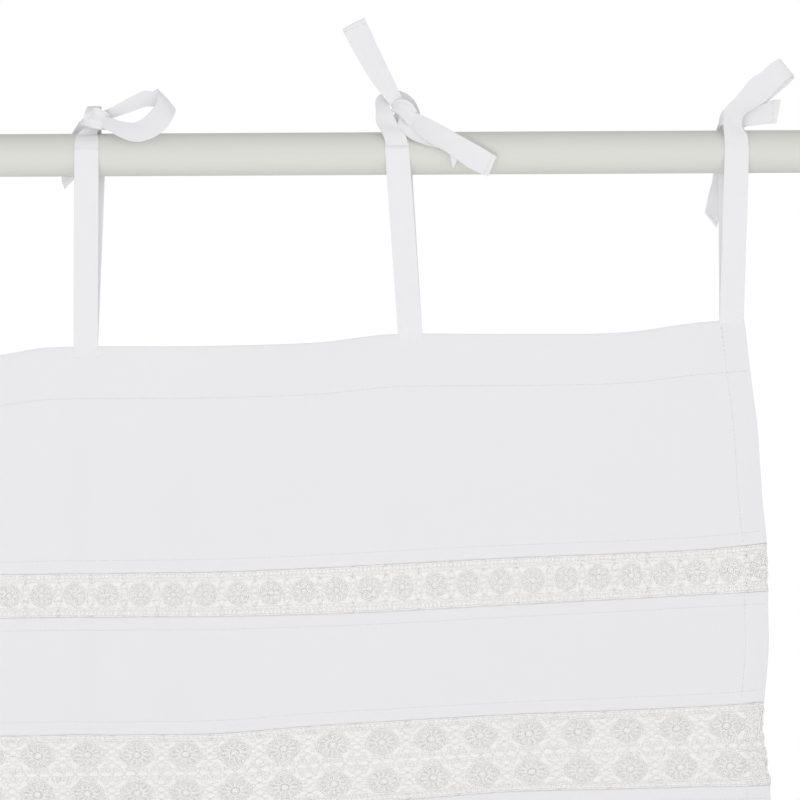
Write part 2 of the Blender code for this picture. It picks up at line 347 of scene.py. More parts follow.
@dataclass(frozen=True)
class LaceGround(Finish):
    """The close net ground between the lace's motifs."""

    def dress(self, tree: bpy.types.NodeTree, shader: bpy.types.Node) -> None:
        """Round net cells whose middles a bump sinks, with painted shade darkening their middles.
        """
        plain = self.coordinates(tree, "Object", (1, 0.01, 1))
        cells = tree.nodes.new("ShaderNodeTexVoronoi")
        cells.feature = "F1"
        cells.inputs["Scale"].default_value = 900.0
        cells.inputs["Randomness"].default_value = 0.35
        tree.links.new(plain, cells.inputs["Vector"])
        net_height_and_painted_shade = self.maths(tree, "MULTIPLY", cells.outputs["Distance"], 1.5)
        self.relief(tree, shader, net_height_and_painted_shade, 0.0002, 0.5)
        # painted shade: the tint darkens the middle of each net cell, as shade in its hole
        self.tint(tree, shader, net_height_and_painted_shade, 0.90)


@dataclass(frozen=True)
class SewingThread(Finish):
    """Fine sewing thread."""

    def dress(self, tree: bpy.types.NodeTree, shader: bpy.types.Node) -> None:
        """Give the thread its twist, with painted shade darkening the grooves between its plies."""
        plain = self.coordinates(tree, "Object", (1, 1, 1))
        ply = self.threads(tree, plain, "DIAGONAL", 0.0004)
        self.relief(tree, shader, ply, 0.0001, 0.4)
        # painted shade: the ridges that bump the thread also darken it in their grooves
        self.tint(tree, shader, ply, 0.92)


@dataclass(frozen=True)
class SatinPaint(Finish):
    """Satin paint over a turned wooden pole."""

    def dress(self, tree: bpy.types.NodeTree, shader: bpy.types.Node) -> None:
        """Brush the paint along the pole and vary its gloss a little."""
        brushed = self.coordinates(tree, "Object", (4, 90, 90))
        plain = self.coordinates(tree, "Object", (1, 1, 1))
        marks = self.noise(tree, brushed, 6.0, 4.0)
        patches = self.noise(tree, plain, 14.0, 2.0)
        self.relief(tree, shader, marks, 0.0001, 0.25)
        gloss = tree.nodes.new("ShaderNodeMapRange")
        gloss.inputs["To Min"].default_value = self.roughness - 0.06
        gloss.inputs["To Max"].default_value = self.roughness + 0.08
        tree.links.new(marks, gloss.inputs["Value"])
        tree.links.new(gloss.outputs["Result"], shader.inputs["Roughness"])
        self.tint(tree, shader, self.maths(tree, "ADD", patches, marks), 0.975)


@dataclass(frozen=True)
class StudioFloor(Finish):
    """Plain pale studio floor."""

    def dress(self, tree: bpy.types.NodeTree, shader: bpy.types.Node) -> None:
        """Faint mottling, so that the floor isn't one flat value."""
        plain = self.coordinates(tree, "Object", (1, 1, 1))
        self.tint(tree, shader, self.noise(tree, plain, 3.0), 0.98)


CLOTH = WovenCotton("white_cotton", linear(239, 239, 242), 0.92, 0.1)
TAPE = WovenCotton("cotton_tape", linear(240, 240, 243), 0.88, 0.1, 0.00042, "UV")
YARN = LaceYarn("lace_yarn", linear(255, 254, 254), 0.9, 0.1)
GROUND = LaceGround("lace_ground", linear(251, 250, 247), 0.95)
THREAD = SewingThread("sewing_thread", linear(233, 233, 237), 0.8)
PAINT = SatinPaint("rod_paint", linear(236, 235, 231), 0.42)
FLOOR = StudioFloor("studio_floor", linear(235, 235, 235), 0.9)


# ---------------------------------------------------------------- mesh helpers


class Mesher:
    """Gathers closed shapes, in millimetres, into one object."""

    def __init__(self) -> None:
        """Start with nothing."""
        self.points: list[np.ndarray] = []
        self.uvs: list[np.ndarray] = []
        self.faces: list[list[int]] = []
        self.count = 0

    def add(self, points: np.ndarray, faces: list[list[int]],
            uvs: np.ndarray | None = None) -> None:
        """Add one closed shape.

        Args:
            points: its corners, as rows of x, y, z.
            faces: its faces, as lists of corner numbers.
            uvs: the place of each corner on the cloth, in metres.
        """
        self.points.append(points)
        self.uvs.append(np.zeros((len(points), 2)) if uvs is None else uvs)
        start = self.count
        self.faces += [[start + k for k in face] for face in faces]
        self.count += len(points)

    def sheet(self, front: np.ndarray, back: np.ndarray, uvs: np.ndarray | None = None) -> None:
        """Add a closed sheet between two grids.

        Args:
            front: grid of points on the front face, rows by columns by 3.
            back: the matching grid on the back face.
            uvs: grid of cloth places, rows by columns by 2.
        """
        tall, wide = front.shape[:2]
        offset = tall * wide
        cell = np.arange(offset).reshape(tall, wide)
        a, b, c, d = cell[:-1, :-1], cell[:-1, 1:], cell[1:, 1:], cell[1:, :-1]
        faces = np.stack([a, d, c, b], -1).reshape(-1, 4).tolist()
        faces += (np.stack([a, b, c, d], -1).reshape(-1, 4) + offset).tolist()
        rim = list(cell[0]) + list(cell[1:, -1]) + list(cell[-1, -2::-1]) + list(cell[-2:0:-1, 0])
        for k, here in enumerate(rim):
            after = rim[(k + 1) % len(rim)]
            faces.append([int(here), int(after), int(after) + offset, int(here) + offset])
        points = np.concatenate([front.reshape(-1, 3), back.reshape(-1, 3)])
        both = None if uvs is None else np.concatenate([uvs.reshape(-1, 2)] * 2)
        self.add(points, faces, both)

    def tube(self, path: np.ndarray, normals: np.ndarray, radius: np.ndarray | float,
             sides: int = 5, closed: bool = False) -> None:
        """Add a round yarn or thread along a path.

        Args:
            path: its centreline, as rows of x, y, z.
            normals: the cloth's normal at each point of the path.
            radius: its radius, or one radius for each point.
            sides: number of flats round it.
            closed: whether the path is a ring.
        """
        count = len(path)
        if closed:
            along = np.roll(path, -1, 0) - np.roll(path, 1, 0)
        else:
            along = np.gradient(path, axis=0)
        along /= np.maximum(np.linalg.norm(along, axis=1, keepdims=True), 1e-9)
        side = np.cross(along, normals)
        side /= np.maximum(np.linalg.norm(side, axis=1, keepdims=True), 1e-9)
        out = np.cross(side, along)
        turn = 2 * np.pi * np.arange(sides) / sides
        reach = np.broadcast_to(np.asarray(radius, float), (count,))[:, None, None]
        ring = (
            path[:, None, :]
            + reach * np.cos(turn)[None, :, None] * side[:, None, :]
            + reach * np.sin(turn)[None, :, None] * out[:, None, :]
        )
        faces = []
        for i in range(count if closed else count - 1):
            here, after = i * sides, ((i + 1) % count) * sides
            for k in range(sides):
                beside = (k + 1) % sides
                faces.append([here + k, here + beside, after + beside, after + k])
        if not closed:
            faces.append(list(range(sides)))
            faces.append([(count - 1) * sides + k for k in range(sides)])
        self.add(ring.reshape(-1, 3), faces)

    def build(self, name: str, finish: Finish) -> bpy.types.Object:
        """Make the object.

        Args:
            name: the piece's name.
            finish: what it is made of.

        Returns:
            The new object, linked into the scene.
        """
        points = np.concatenate(self.points) * MM
        mesh = bpy.data.meshes.new(name)
        mesh.from_pydata(points.tolist(), [], self.faces)
        corners = np.empty(len(mesh.loops), np.int32)
        mesh.loops.foreach_get("vertex_index", corners)
        layer = mesh.uv_layers.new(name="cloth")
        layer.data.foreach_set("uv", np.concatenate(self.uvs)[corners].astype(np.float32).ravel())
        shape = bmesh.new()
        shape.from_mesh(mesh)
        bmesh.ops.recalc_face_normals(shape, faces=shape.faces)
        shape.to_mesh(mesh)
        shape.free()
        mesh.polygons.foreach_set("use_smooth", [True] * len(mesh.polygons))
        mesh.materials.append(finish.material())
        made = bpy.data.objects.new(name, mesh)
        bpy.context.scene.collection.objects.link(made)
        return made


def settle(piece: bpy.types.Object, nodes: Sequence[str] = ()) -> bpy.types.Object:
    """Join a piece to the model.

    Args:
        piece: the new piece, in its place.
        nodes: the plain solids that it stands for.

    Returns:
        The same piece.
    """
    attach(piece, BODY)
    if nodes:
        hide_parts(*nodes)
    triangles = sum(len(face.vertices) - 2 for face in piece.data.polygons)
    LOG.info("%s: %d triangles", piece.name, triangles)
    return piece


# ---------------------------------------------------------------- the hanging cloth


@dataclass
class CurtainShape:
    """The hang of the whole curtain: seam heights, side edges and folds."""

    left: float = 60.0
    width: float = 600.0
    growth: float = 95.0
    levels: tuple[Level, ...] = (
        Level(45, -116.0, -253.5, -280.6, -351.6, -401.0, -716.0),
        Level(68, -116.4, -253.8, -280.8, -351.8, -401.2, -715.7),
        Level(120, -121.0, -254.8, -281.8, -352.8, -402.0, -714.5),
        Level(170, -124.0, -255.4, -282.2, -353.5, -402.5, -713.5),
        Level(206, -121.6, -255.3, -282.1, -353.5, -402.4, -712.5),
        Level(236, -117.2, -255.1, -282.1, -353.5, -402.2, -711.6),
        Level(330, -116.8, -254.5, -282.0, -353.1, -401.0, -709.0),
        Level(400, -115.0, -252.0, -280.5, -347.8, -396.5, -707.5),
        Level(445, -110.2, -249.9, -279.1, -345.5, -394.3, -706.5),
        Level(511, -110.4, -247.0, -276.2, -342.7, -390.4, -705.0),
        Level(585, -109.9, -244.4, -272.8, -340.2, -388.8, -703.5),
        Level(633, -103.9, -242.1, -270.1, -337.8, -387.2, -702.6),
        Level(680, -101.0, -237.6, -267.6, -334.0, -386.0, -701.6),
    )
    outlines: tuple[Outline, ...] = (
        Outline(0, 0.0, 0.0),
        Outline(25, 1.8, 2.8),
        Outline(50, 4.0, 5.9),
        Outline(75, 6.0, 8.3),
        Outline(100, 7.5, 9.8),
        Outline(147, 10.0, 13.6),
        Outline(185, 10.5, 13.8),
        Outline(209, 10.0, 13.1),
        Outline(235, 9.0, 11.0),
        Outline(250, 9.0, 10.4),
        Outline(283, 11.5, 14.2),
        Outline(350, 13.0, 15.6),
        Outline(450, 12.0, 14.2),
        Outline(600, 14.0, 17.0),
    )
    folds: tuple[Fold, ...] = (
        Fold(88, 5.0, 24, -2.0),
        Fold(134, -6.0, 24, 1.0),
        Fold(186, 5.0, 26, 0.0),
        Fold(242, -3.6, 13, 3.0),
        Fold(268, 2.4, 14, 3.0),
        Fold(300, -5.6, 25, -5.0),
        Fold(410, 5.0, 60, 0.0),
        Fold(545, -5.4, 66, 2.0),
        Fold(648, 5.0, 20, 4.0),
    )
    depths: tuple[float, ...] = (0, 137, 165, 234, 284, 600)

    def level(self, seam: Seam, x: np.ndarray) -> np.ndarray:
        """Height of a seam at places along the rod."""
        name = seam.name.lower()
        rows = [(row.at, getattr(row, name)) for row in self.levels]
        return Curve(tuple(r[0] for r in rows), tuple(r[1] for r in rows)).at(x)

    def sides(self, depth: np.ndarray) -> tuple[np.ndarray, np.ndarray]:
        """The x of the left and right edges at a depth below the header."""
        places = tuple(row.depth for row in self.outlines)
        left = Curve(places, tuple(row.left for row in self.outlines)).at(depth)
        right = Curve(places, tuple(row.right for row in self.outlines)).at(depth)
        return self.left - left, self.left + self.width + right

    def fold(self, x: np.ndarray, depth: np.ndarray) -> np.ndarray:
        """The y of the cloth's middle: folds open out below the header."""
        grown = 1 - np.exp(-np.maximum(depth, 0.0) / self.growth)
        forward = np.zeros(np.broadcast(x, depth).shape)
        for fold in self.folds:
            away = (x - fold.at - fold.drift * depth / 100) / fold.wide
            forward = forward + fold.forward * np.exp(-away * away)
        broad = SoftNoise(3, 62.0).at(x, depth) * 0.42
        fine = SoftNoise(11, 17.0).at(x, depth) * 0.06
        return (broad + fine - forward) * grown


@dataclass
class Band:
    """The part of the curtain between two seams, as a surface."""

    shape: CurtainShape
    upper: Seam
    lower: Seam
    wobble: float = 0.15
    wobble_pitch: float = 38.0

    @property
    def start(self) -> float:
        """Depth of the band's upper seam."""
        return self.shape.depths[self.upper.value]

    @property
    def drop(self) -> float:
        """Height of the band."""
        return self.shape.depths[self.lower.value] - self.start

    @property
    def width(self) -> float:
        """Width of the band along its middle."""
        left, right = self.shape.sides(np.array([self.start + self.drop / 2]))
        return float(right[0] - left[0])

    def points(self, across: np.ndarray, down: np.ndarray) -> np.ndarray:
        """Points on the cloth's middle.

        Args:
            across: fractions of the width from the left edge.
            down: distances below the upper seam.

        Returns:
            An array of x, y, z.
        """
        depth = self.start + down
        left, right = self.shape.sides(depth)
        uneven = SoftNoise(5 + self.upper.value, self.wobble_pitch).at(np.zeros_like(depth), depth)
        x = left + (right - left) * across + uneven * self.wobble * (across - 0.5) * 2
        top = self.shape.level(self.upper, x)
        foot = self.shape.level(self.lower, x)
        z = top + (foot - top) * down / self.drop
        return np.stack([x, self.shape.fold(x, depth), z], -1)

    def normals(self, across: np.ndarray, down: np.ndarray) -> np.ndarray:
        """Unit normals that face the front."""
        step = 0.5
        sideways = self.points(across + step / self.width, down) - self.points(across, down)
        below = self.points(across, down + step) - self.points(across, down)
        out = np.cross(below, sideways)
        return out / np.maximum(np.linalg.norm(out, axis=-1, keepdims=True), 1e-9)


@dataclass
class Stitching:
    """Rows of machine stitches on one panel."""

    pitch: float = 2.7
    length: float = 1.9
    radius: float = 0.17
    mesher: Mesher = field(default_factory=Mesher)

    def row(self, band: Band, start: tuple[float, float], end: tuple[float, float],
            lift: tuple[float, float]) -> None:
        """Sew one row on both faces.

        Args:
            band: the cloth that it is sewn on.
            start: (distance from the left edge, distance below the upper seam).
            end: the same for the row's last stitch.
            lift: how far the front and the back face stand from the cloth's middle.
        """
        length = math.hypot(end[0] - start[0], end[1] - start[1])
        for k in range(int(length / self.pitch)):
            at = (np.linspace(0, self.length, 4) + k * self.pitch) / length
            across = (start[0] + (end[0] - start[0]) * at) / band.width
            down = start[1] + (end[1] - start[1]) * at
            middle, out = band.points(across, down), band.normals(across, down)
            for face, height in zip((1, -1), lift):
                arch = np.array([-0.12, 0.06, 0.06, -0.12])[:, None]
                path = middle + out * (height + arch) * face
                radius = self.radius * np.array([0.7, 1.0, 1.0, 0.7])
                self.mesher.tube(path, out, radius, 5)


@dataclass
class Panel:
    """A plain cotton panel with its hems, seam folds and stitching."""

    name: str
    band: Band
    top_fold: float
    foot_fold: float
    step: float = 2.6
    side_hem: float = 16.0
    half: float = 0.34
    doubled: float = 0.75
    stitch_inset: float = 1.5
    edge_round: float = 0.7
    groove_depth: float = 0.16
    groove_width: float = 0.6
    pucker_height: float = 0.10
    pucker_pitch: float = 6.8
    pucker_reach: float = 4.5
    stitches: Stitching = field(default_factory=Stitching)
    anchors: tuple[tuple[float, float], ...] = ()

    def rows(self) -> np.ndarray:
        """Distances below the upper seam where the mesh has a row."""
        drop = self.band.drop
        rows = set(np.linspace(0, drop, int(drop / self.step) + 1).tolist())
        for line in (self.top_fold, drop - self.foot_fold):
            if 0 < line < drop:
                rows |= {line + off for off in (-1.6, -0.9, -0.4, 0.0, 0.4, 0.9, 1.6)}
        rows |= {0.25, 0.7, drop - 0.25, drop - 0.7}
        return self.thin(sorted(r for r in rows if 0 <= r <= drop))

    def columns(self) -> np.ndarray:
        """Distances from the left edge where the mesh has a column."""
        wide = self.band.width
        columns = set(np.linspace(0, wide, int(wide / self.step) + 1).tolist())
        for line in (self.side_hem, wide - self.side_hem):
            columns |= {line + off for off in (-1.6, -0.9, -0.4, 0.0, 0.4, 0.9, 1.6)}
        columns |= {0.25, 0.7, wide - 0.25, wide - 0.7}
        return self.thin(sorted(columns))

    @staticmethod
    def thin(values: list[float]) -> np.ndarray:
        """Drop places closer than 0.2 to the one before them, keeping both ends."""
        kept = [values[0]]
        for value in values[1:-1]:
            if value - kept[-1] > 0.2 and values[-1] - value > 0.2:
                kept.append(value)
        return np.array(kept + [values[-1]])

    def grids(self) -> tuple[np.ndarray, np.ndarray, np.ndarray]:
        """Shape the cloth.

        Returns:
            The front grid, the back grid and the cloth places in metres.
        """
        drop, wide = self.band.drop, self.band.width
        down, along = np.meshgrid(self.rows(), self.columns(), indexing="ij")
        across = along / wide
        middle, out = self.band.points(across, down), self.band.normals(across, down)
        edge = np.minimum.reduce([along, wide - along, down, drop - down])
        round_off = np.clip(np.sqrt(np.clip(edge / self.edge_round, 0, 1)), 0.2, 1.0)
        hem = np.maximum.reduce([
            self.rise(self.side_hem - along),
            self.rise(self.side_hem - (wide - along)),
            self.rise(self.top_fold - down),
            self.rise(self.foot_fold - (drop - down)),
        ])
        groove = np.zeros_like(along)
        pucker = np.zeros_like(along)
        for line, run in self.lines(down, along):
            groove = groove + self.groove_depth * np.exp(-((line / self.groove_width) ** 2))
            wave = np.sin(run * 2 * np.pi / self.pucker_pitch + 1.7 * np.sin(run / 23))
            pucker = pucker + self.pucker_height * wave * np.exp(-np.abs(line) / self.pucker_reach)
        front = middle + out * ((self.half - groove) * round_off + pucker)[..., None]
        thick = (self.half + self.doubled * hem - groove) * round_off
        back = middle - out * (thick - pucker)[..., None]
        return front, back, np.stack([along, down], -1) * MM

    @staticmethod
    def rise(inside: np.ndarray) -> np.ndarray:
        """Go from 0 to 1 over the turned edge of a hem."""
        t = np.clip(inside / 0.9 + 0.5, 0, 1)
        return t * t * (3 - 2 * t)

    def lines(self, down: np.ndarray, along: np.ndarray) -> list[tuple[np.ndarray, np.ndarray]]:
        """Distances from, and along, each stitched line."""
        drop, wide = self.band.drop, self.band.width
        inset = self.stitch_inset
        found = [
            (along - self.side_hem + inset, down),
            (wide - along - self.side_hem + inset, down),
        ]
        if self.top_fold:
            found.append((down - self.top_fold + inset, along))
        if self.foot_fold:
            found.append((drop - down - self.foot_fold + inset, along))
        return found

    def build(self, held_from: Sequence[str]) -> None:
        """Args:
            held_from: the pieces or nodes that it hangs from. Not used.
        """
        body = Mesher()
        body.sheet(*self.grids())
        cloth = settle(body.build(self.name + "_cloth", CLOTH), [self.name])
        drop, wide = self.band.drop, self.band.width
        inset = self.side_hem - self.stitch_inset
        lift = (self.half - 0.1, self.half + self.doubled - 0.1)
        for x in (inset, wide - inset):
            self.stitches.row(self.band, (x, 1.0), (x, drop - 1.0), lift)
        if self.top_fold:
            y = self.top_fold - self.stitch_inset
            self.stitches.row(self.band, (1.0, y), (wide - 1.0, y), lift)
        if self.foot_fold:
            y = drop - self.foot_fold + self.stitch_inset
            self.stitches.row(self.band, (1.0, y), (wide - 1.0, y), lift)
        for x, length in self.anchors:
            self.stitches.row(self.band, (x, 1.0), (x, length), lift)
        rows = self.stitches.mesher.build(self.name + "_stitching", THREAD)
        sewing = settle(rows)


# ---------------------------------------------------------------- lace


@dataclass(frozen=True)
class Yarn:
    """One run of yarn in a lace chart: its path across and down, and its thickness."""

    path: np.ndarray
    closed: bool = False
    radius: float = 0.42
    lift: float = 0.0


@dataclass
class LaceChart:
    """Draws the runs of yarn for one repeat of a lace."""

    pitch: float
    drop: float
    runs: list[Yarn] = field(default_factory=list)

    def ring(self, x: float, y: float, wide: float, tall: float, points: int,
             radius: float = 0.42, lobes: int = 0, depth: float = 0.0) -> None:
        """A closed ring of yarn.

        Args:
            x: its centre, across.
            y: its centre, down.
            wide: half its width.
            tall: half its height.
            points: number of points round it.
            radius: the yarn's radius.
            lobes: number of scallops.
            depth: how deep the scallops are, as a share of the size.
        """
        angle = np.linspace(0, 2 * np.pi, points, endpoint=False)
        size = 1 + depth * np.cos(lobes * angle)
        path = np.stack([x + wide * size * np.cos(angle), y + tall * size * np.sin(angle)], -1)
        self.runs.append(Yarn(path, True, radius))

    def line(self, start: tuple[float, float], end: tuple[float, float], points: int = 3,
             radius: float = 0.42, bow: float = 0.0) -> None:
        """A straight or bowed run of yarn.

        Args:
            start: where it starts, across and down.
            end: where it ends.
            points: number of points along it.
            radius: the yarn's radius.
            bow: how far its middle stands aside, as a share of its length.
        """
        a, b = np.array(start, float), np.array(end, float)
        t = np.linspace(0, 1, points)[:, None]
        aside = np.array([-(b - a)[1], (b - a)[0]])
        path = a + (b - a) * t + aside * bow * 4 * t * (1 - t)
        self.runs.append(Yarn(path, False, radius))

    def rosette(self, x: float, y: float, wide: float, tall: float, petals: int) -> None:
        """A round or oval motif: eye, petals, posts between them and a scalloped rim.

        Args:
            x: its centre, across.
            y: its centre, down.
            wide: half its width.
            tall: half its height.
            petals: number of petals.
        """
        self.ring(x, y, wide * 0.2, tall * 0.2, 9, 0.46)
        for k in range(petals):
            angle = 2 * math.pi * (k + 0.5) / petals
            c, s = math.cos(angle), math.sin(angle)
            around = np.linspace(0, 2 * np.pi, 9, endpoint=False)
            far = 0.57 + 0.27 * np.cos(around)
            side = 0.62 * math.pi / petals * np.sin(around) * (0.75 + 0.25 * np.cos(around))
            path = np.stack([
                x + wide * (far * c - side * s),
                y + tall * (far * s + side * c),
            ], -1)
            self.runs.append(Yarn(path, True, 0.44, 0.12))
            for share in (0.0, 0.5):
                angle = 2 * math.pi * (k + share) / petals
                c, s = math.cos(angle), math.sin(angle)
                inner, outer = (0.24, 0.95) if share == 0 else (0.36, 0.72)
                self.line((x + wide * inner * c, y + tall * inner * s),
                          (x + wide * outer * c, y + tall * outer * s), 5, 0.36)
        self.ring(x, y, wide * 0.97, tall * 0.97, petals * 3, 0.44, petals, 0.04)

    def border(self, y: float, inward: float, bars: int) -> None:
        """A straight border: two rails with upright bars between them.

        Args:
            y: the outer rail's place, down.
            inward: distance to the inner rail.
            bars: number of bars in one repeat.
        """
        for off, radius in ((0.0, 0.5), (inward, 0.42)):
            points = np.linspace(0, self.pitch, 9)
            path = np.stack([points, np.full(9, y + off)], -1)
            self.runs.append(Yarn(path, False, radius))
        for k in range(bars):
            x = self.pitch * (k + 0.5) / bars
            self.line((x, y), (x, y + inward), 3, 0.4)

    def cells(self, y: float, count: int, wide: float, tall: float, shift: float = 0.0) -> None:
        """A row of small oval cells that touch.

        Args:
            y: the row's place, down.
            count: number of cells in one repeat.
            wide: half a cell's width.
            tall: half a cell's height.
            shift: how far the row is shifted, as a share of a cell.
        """
        for k in range(count):
            self.ring(self.pitch * (k + 0.5 + shift) / count, y, wide, tall, 10, 0.4)


class NarrowChart(LaceChart):
    """One row of rosettes between two barred borders."""

    def __init__(self) -> None:
        """Draw one repeat, with its rosette in the middle."""
        super().__init__(20.0, 28.0)
        middle = self.drop / 2
        self.border(0.9, 3.0, 8)
        self.border(self.drop - 0.9, -3.0, 8)
        self.rosette(10.0, middle, 7.4, 7.6, 8)
        for side in (-1, 1):
            self.cells(middle + side * 9.1, 5, 1.9, 1.05)
            for lean in (-1, 1):
                x = 10 + lean * 7.6
                inner, outer = middle + side * 3.4, middle + side * 8.2
                self.line((x, inner), (x + lean * 2.2, outer), 4, 0.38, 0.08)
        for off in (-5.4, -1.8, 1.8, 5.4):
            self.ring(0.0, middle + off, 1.9, 1.5, 10, 0.4)


class WideChart(LaceChart):
    """Two rows of oval medallions with rows of open cells round them."""

    def __init__(self) -> None:
        """Draw one repeat, with both medallions in the middle."""
        super().__init__(30.06, 50.0)
        middle = self.pitch / 2
        self.border(0.9, 2.4, 10)
        self.border(self.drop - 0.9, -2.4, 10)
        for y in (13.0, 37.4):
            self.rosette(middle, y, 10.2, 8.2, 12)
            for off in (-6.6, -2.2, 2.2, 6.6):
                self.ring(0.0, y + off, 2.7, 1.75, 10, 0.4)
                self.ring(3.9, y + off * 1.05, 1.2, 1.2, 8, 0.36)
                self.ring(self.pitch - 3.9, y + off * 1.05, 1.2, 1.2, 8, 0.36)
        self.cells(25.2, 4, 3.5, 1.75)
        for y in (4.6, 22.3, 28.2, 45.6):
            self.cells(y, 6, 1.8, 0.9, 0.5)


@dataclass
class LaceBand:
    """A lace insertion: net ground, yarn motifs and doubled side hems."""

    name: str
    band: Band
    chart: LaceChart
    phase: float
    seed: int
    side_hem: float = 16.0
    ground_half: float = 0.16
    ground_step: float = 2.0
    ground_back: float = 0.3
    hem_back: float = 0.45

    def ground(self) -> bpy.types.Object:
        """The close net that the motifs stand on."""
        drop, wide = self.band.drop, self.band.width
        rows = np.linspace(0, drop, int(drop / self.ground_step) + 1)
        columns = np.linspace(0, wide, int(wide / self.ground_step) + 1)
        down, along = np.meshgrid(rows, columns, indexing="ij")
        across = along / wide
        middle, out = self.band.points(across, down), self.band.normals(across, down)
        bow = 0.12 * np.sin(along * 2 * np.pi / 7.1) * np.sin(down * 2 * np.pi / 9.3)
        hem = (along < self.side_hem) | (along > wide - self.side_hem)
        back = np.where(hem, self.hem_back, self.ground_back)
        front = middle + out * (self.ground_half - back + bow)[..., None]
        rear = middle - out * (self.ground_half + back - bow)[..., None]
        body = Mesher()
        body.sheet(front, rear, np.stack([along, down], -1) * MM)
        return body.build(self.name + "_ground", GROUND)

    def lay(self, body: Mesher, run: Yarn, shift: float, chance: random.Random,
            lift: float) -> None:
        """Lay one run of yarn on the cloth.

        Args:
            body: gathers the yarn.
            run: the run from the chart.
            shift: where this repeat starts, from the left edge.
            chance: the band's own source of unevenness.
            lift: how far in front of the cloth's middle it lies.
        """
        wide = self.band.width
        along = run.path[:, 0] + shift
        if along.max() < 0.3 or along.min() > wide - 0.3:
            return
        nudge = chance.uniform(-0.14, 0.14)
        along = np.clip(along + nudge, 0.45, wide - 0.45)
        if along.max() - along.min() < 0.2 and run.closed:
            return
        down = np.clip(run.path[:, 1] + chance.uniform(-0.12, 0.12), 0.5, self.band.drop - 0.5)
        if not run.closed and along[0] == along[-1] and down[0] == down[-1]:
            return
        across = along / wide
        out = self.band.normals(across, down)
        count = len(along)
        weave = 0.13 * np.cos(np.arange(count) * np.pi + chance.choice((0, math.pi)))
        path = self.band.points(across, down) + out * (lift + run.lift + weave)[:, None]
        radius = run.radius * (1 + 0.16 * np.sin(np.arange(count) * 2.2 + chance.uniform(0, 6)))
        body.tube(path, out, radius, 4, run.closed)

    def build(self, above: str) -> None:
        """Args:
            above: the piece that it is sewn to. Not used.
        """
        chance = random.Random(self.seed)
        body = Mesher()
        wide = self.band.width
        first = self.phase % self.chart.pitch - self.chart.pitch
        for k in range(int(wide / self.chart.pitch) + 3):
            shift = first + k * self.chart.pitch
            for run in self.chart.runs:
                self.lay(body, run, shift, chance, 0.05)
        self.hem_layer(body, chance)
        yarn = settle(body.build(self.name + "_motifs", YARN))
        ground = settle(self.ground(), [self.name])

    def hem_layer(self, body: Mesher, chance: random.Random) -> None:
        """Turn the lace back on itself along both side hems."""
        wide, hem = self.band.width, self.side_hem
        for k in range(2):
            for run in self.chart.runs:
                for mirrored in (False, True):
                    path = run.path.copy()
                    path[:, 0] = path[:, 0] * 0.97 + k * self.chart.pitch - self.chart.pitch * 0.35
                    inside = (path[:, 0] > 0.5) & (path[:, 0] < hem - 0.4)
                    if not inside.all():
                        continue
                    if mirrored:
                        path[:, 0] = wide - path[:, 0]
                    turned = Yarn(path, run.closed, run.radius * 0.9, -0.15)
                    self.lay(body, turned, 0.0, chance, 0.0)


# ---------------------------------------------------------------- ties


